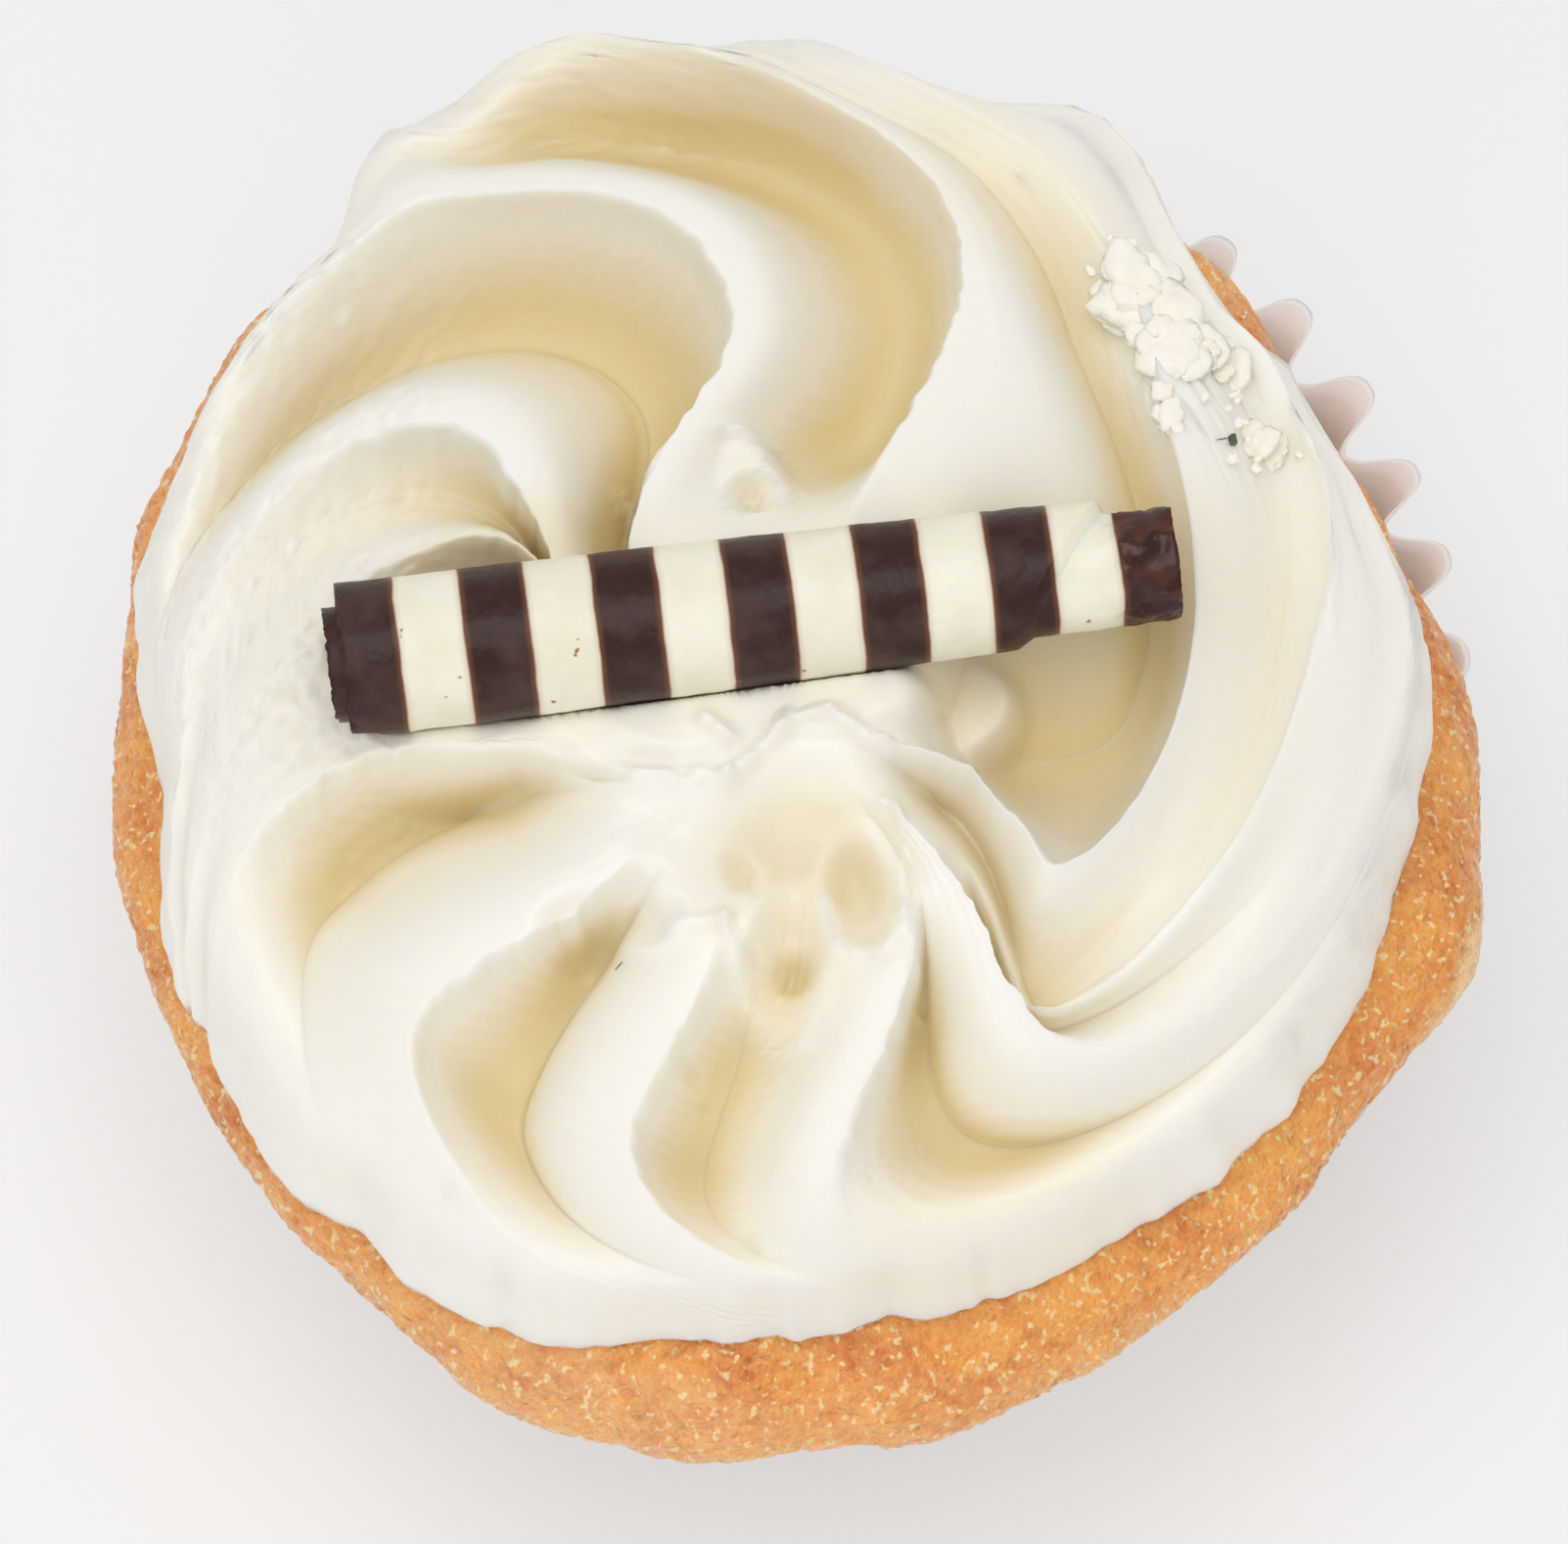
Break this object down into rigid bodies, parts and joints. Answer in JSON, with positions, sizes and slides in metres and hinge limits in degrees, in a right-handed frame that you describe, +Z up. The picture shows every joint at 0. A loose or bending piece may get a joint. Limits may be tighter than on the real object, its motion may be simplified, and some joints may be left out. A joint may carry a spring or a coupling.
{
  "type": "cupcake",
  "caption": "Golden cupcake in a pale fluted paper case, topped with a piped swirl of cream icing and a striped chocolate roll lying across it.",
  "frame": {"origin": "middle of the paper case's flat base, where it rests", "axes": "+Z up; the swirl leans towards -Y, and the chocolate roll runs roughly along X with its thin end towards +X"},
  "size_m": [0.0717, 0.0751, 0.0651],
  "materials": {
    "paper": "matt, slightly see-through baking paper, pleated",
    "sponge": "golden baked crust, finely pitted, with a slight greasy shine",
    "icing": "soft cream icing, satin, letting light into its edges",
    "chocolate": "dark chocolate with ivory white chocolate stripes, low sheen"
  },
  "bodies": {
    "root": {"paper_case": "paper", "sponge": "sponge", "icing": "icing", "chocolate_roll": "chocolate"}
  },
  "joints": []
}
